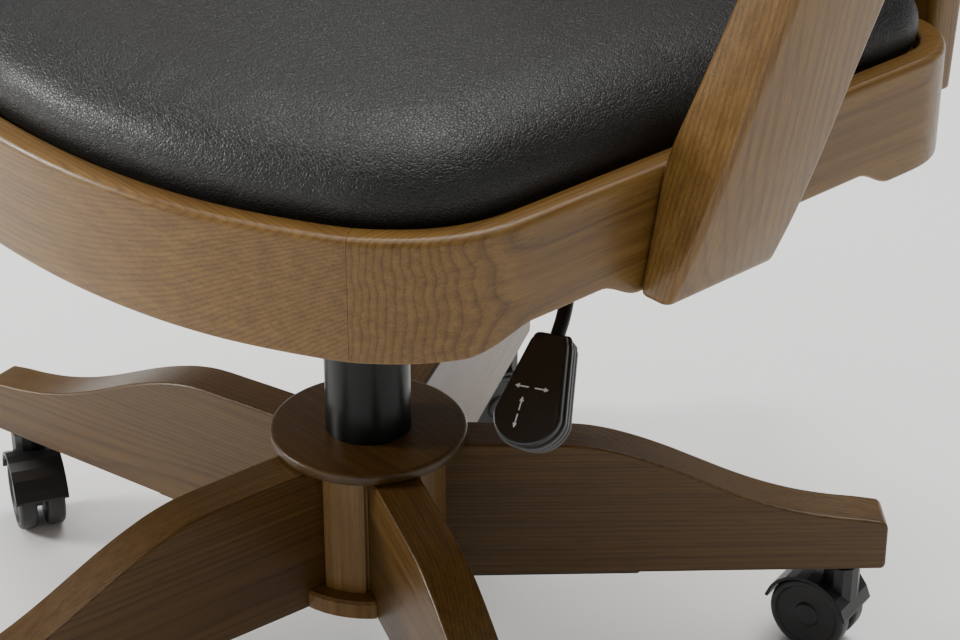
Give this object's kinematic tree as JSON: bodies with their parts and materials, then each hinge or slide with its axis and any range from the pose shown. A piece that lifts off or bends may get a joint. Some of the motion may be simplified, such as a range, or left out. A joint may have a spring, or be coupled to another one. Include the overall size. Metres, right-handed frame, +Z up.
{
  "type": "swivel office chair",
  "caption": "Wooden swivel armchair with a domed leather seat, padded back, gas column with lift and tilt lever, and a five-leg wooden base on twin-wheel casters.",
  "frame": {"origin": "on the column axis at floor level, between the casters", "axes": "+Z up along the column, -Y to the front of the seat, +X to the sitter's left"},
  "size_m": [0.6648, 0.6589, 0.93],
  "materials": {
    "wood": "brown stained ash-like wood under satin lacquer",
    "black_leather": "black pebbled leather, semi-matt",
    "column_enamel": "gloss black",
    "bright_steel": "ground and zinc plated",
    "black_steel": "satin black powder coat",
    "black_plastic": "satin moulded black",
    "grey_plastic": "matt moulded charcoal",
    "rubber_black": "matt",
    "plywood": "raw plywood"
  },
  "bodies": {
    "base": {"base_leg_1": "wood", "base_leg_2": "wood", "base_leg_3": "wood", "base_leg_4": "wood", "base_leg_5": "wood", "hub_core": "wood", "hub_bottom_disc": "wood", "hub_cap": "wood", "spider_plate": "black_steel", "column_tube": "column_enamel", "column_bush": "black_plastic"},
    "lift_rod": {"piston_rod": "bright_steel", "thrust_bearing": "bright_steel", "rubber_buffer": "rubber_black", "rod_clip": "bright_steel"},
    "chassis": {"gas_cylinder": "bright_steel", "mechanism_housing": "black_steel", "lever_bracket": "black_steel", "tilt_axle": "bright_steel", "tilt_spring": "bright_steel"},
    "button": {"release_button": "bright_steel"},
    "rocker": {"release_arm": "black_steel"},
    "lever": {"lever_rod": "black_steel", "paddle_top": "black_plastic", "paddle_shell": "grey_plastic"},
    "seat": {"seat_plate": "black_steel", "tension_bolt": "bright_steel", "seat_board": "plywood", "seat_cushion": "black_leather", "front_rail": "wood", "back_rail": "wood", "side_rail_left": "wood", "side_rail_right": "wood", "arm_post_left": "wood", "arm_post_right": "wood", "back_stile_left": "wood", "back_stile_right": "wood", "lower_back_rail": "wood", "crest_rail": "wood", "armrest_left": "wood", "armrest_right": "wood", "back_cushion": "black_leather"},
    "knob": {"tension_knob": "black_plastic"},
    "caster_1": {"caster_1_fork": "black_plastic"},
    "wheel_1a": {"caster_1_wheel_a": "grey_plastic"},
    "wheel_1b": {"caster_1_wheel_b": "grey_plastic"},
    "caster_2": {"caster_2_fork": "black_plastic"},
    "wheel_2a": {"caster_2_wheel_a": "grey_plastic"},
    "wheel_2b": {"caster_2_wheel_b": "grey_plastic"},
    "caster_3": {"caster_3_fork": "black_plastic"},
    "wheel_3a": {"caster_3_wheel_a": "grey_plastic"},
    "wheel_3b": {"caster_3_wheel_b": "grey_plastic"},
    "caster_4": {"caster_4_fork": "black_plastic"},
    "wheel_4a": {"caster_4_wheel_a": "grey_plastic"},
    "wheel_4b": {"caster_4_wheel_b": "grey_plastic"},
    "caster_5": {"caster_5_fork": "black_plastic"},
    "wheel_5a": {"caster_5_wheel_a": "grey_plastic"},
    "wheel_5b": {"caster_5_wheel_b": "grey_plastic"}
  },
  "joints": [
    {"name": "seat_swivel", "type": "hinge", "parent": "base", "child": "lift_rod", "pos_m": [0, 0, 0.077], "axis": [0, 0, 1], "continuous": true},
    {"name": "seat_lift", "type": "slide", "parent": "lift_rod", "child": "chassis", "axis": [0, 0, 1], "range_m": [0, 0.09]},
    {"name": "lever_lift", "type": "hinge", "parent": "chassis", "child": "rocker", "pos_m": [0.056, 0.03, 0.352], "axis": [0, -1, 0], "range_deg": [0, 5], "stiffness_Nm_per_rad": 3, "springref_deg": -6.88},
    {"name": "button_press", "type": "slide", "parent": "chassis", "child": "button", "axis": [0, 0, -1], "range_m": [0, 0.0055], "stiffness_N_per_m": 1500, "springref_m": -0.002},
    {"name": "lever_lock_swing", "type": "hinge", "parent": "rocker", "child": "lever", "pos_m": [0.082, 0.03, 0.352], "axis": [0, 0, 1], "range_deg": [-8, 8]},
    {"name": "seat_tilt", "type": "hinge", "parent": "chassis", "child": "seat", "pos_m": [0, 0.066, 0.352], "axis": [-1, 0, 0], "range_deg": [0, 10], "stiffness_Nm_per_rad": 150, "springref_deg": -11.46, "deforming": ["tilt_spring"]},
    {"name": "tension_turn", "type": "hinge", "parent": "seat", "child": "knob", "pos_m": [0, -0.056, 0.295], "axis": [0, 0, 1], "continuous": true},
    {"name": "caster_1_swivel", "type": "hinge", "parent": "base", "child": "caster_1", "pos_m": [0.18574, 0.21748, 0.06], "axis": [0, 0, 1], "continuous": true},
    {"name": "wheel_1a_roll", "type": "hinge", "parent": "caster_1", "child": "wheel_1a", "pos_m": [0.17116, 0.21397, 0.025], "axis": [0.2334, -0.9724, 0], "continuous": true},
    {"name": "wheel_1b_roll", "type": "hinge", "parent": "caster_1", "child": "wheel_1b", "pos_m": [0.17116, 0.21397, 0.025], "axis": [0.2334, -0.9724, 0], "continuous": true},
    {"name": "caster_2_swivel", "type": "hinge", "parent": "base", "child": "caster_2", "pos_m": [-0.14944, 0.24385, 0.06], "axis": [0, 0, 1], "continuous": true},
    {"name": "wheel_2a_roll", "type": "hinge", "parent": "caster_2", "child": "wheel_2a", "pos_m": [-0.15061, 0.2289, 0.025], "axis": [0.9969, -0.0785, 0], "continuous": true},
    {"name": "wheel_2b_roll", "type": "hinge", "parent": "caster_2", "child": "wheel_2b", "pos_m": [-0.15061, 0.2289, 0.025], "axis": [0.9969, -0.0785, 0], "continuous": true},
    {"name": "caster_3_swivel", "type": "hinge", "parent": "base", "child": "caster_3", "pos_m": [-0.2781, -0.06677, 0.06], "axis": [0, 0, 1], "continuous": true},
    {"name": "wheel_3a_roll", "type": "hinge", "parent": "caster_3", "child": "wheel_3a", "pos_m": [-0.26424, -0.07251, 0.025], "axis": [0.3827, 0.9239, 0], "continuous": true},
    {"name": "wheel_3b_roll", "type": "hinge", "parent": "caster_3", "child": "wheel_3b", "pos_m": [-0.26424, -0.07251, 0.025], "axis": [0.3827, 0.9239, 0], "continuous": true},
    {"name": "caster_4_swivel", "type": "hinge", "parent": "base", "child": "caster_4", "pos_m": [-0.02244, -0.28512, 0.06], "axis": [0, 0, 1], "continuous": true},
    {"name": "wheel_4a_roll", "type": "hinge", "parent": "caster_4", "child": "wheel_4a", "pos_m": [-0.0127, -0.27371, 0.025], "axis": [-0.7604, 0.6494, 0], "continuous": true},
    {"name": "wheel_4b_roll", "type": "hinge", "parent": "caster_4", "child": "wheel_4b", "pos_m": [-0.0127, -0.27371, 0.025], "axis": [-0.7604, 0.6494, 0], "continuous": true},
    {"name": "caster_5_swivel", "type": "hinge", "parent": "base", "child": "caster_5", "pos_m": [0.26423, -0.10945, 0.06], "axis": [0, 0, 1], "continuous": true},
    {"name": "wheel_5a_roll", "type": "hinge", "parent": "caster_5", "child": "wheel_5a", "pos_m": [0.25639, -0.09666, 0.025], "axis": [-0.8526, -0.5225, 0], "continuous": true},
    {"name": "wheel_5b_roll", "type": "hinge", "parent": "caster_5", "child": "wheel_5b", "pos_m": [0.25639, -0.09666, 0.025], "axis": [-0.8526, -0.5225, 0], "continuous": true}
  ],
  "couplings": [
    {"joint": "button_press", "follows": "lever_lift", "m_per_rad": 0.056}
  ]
}
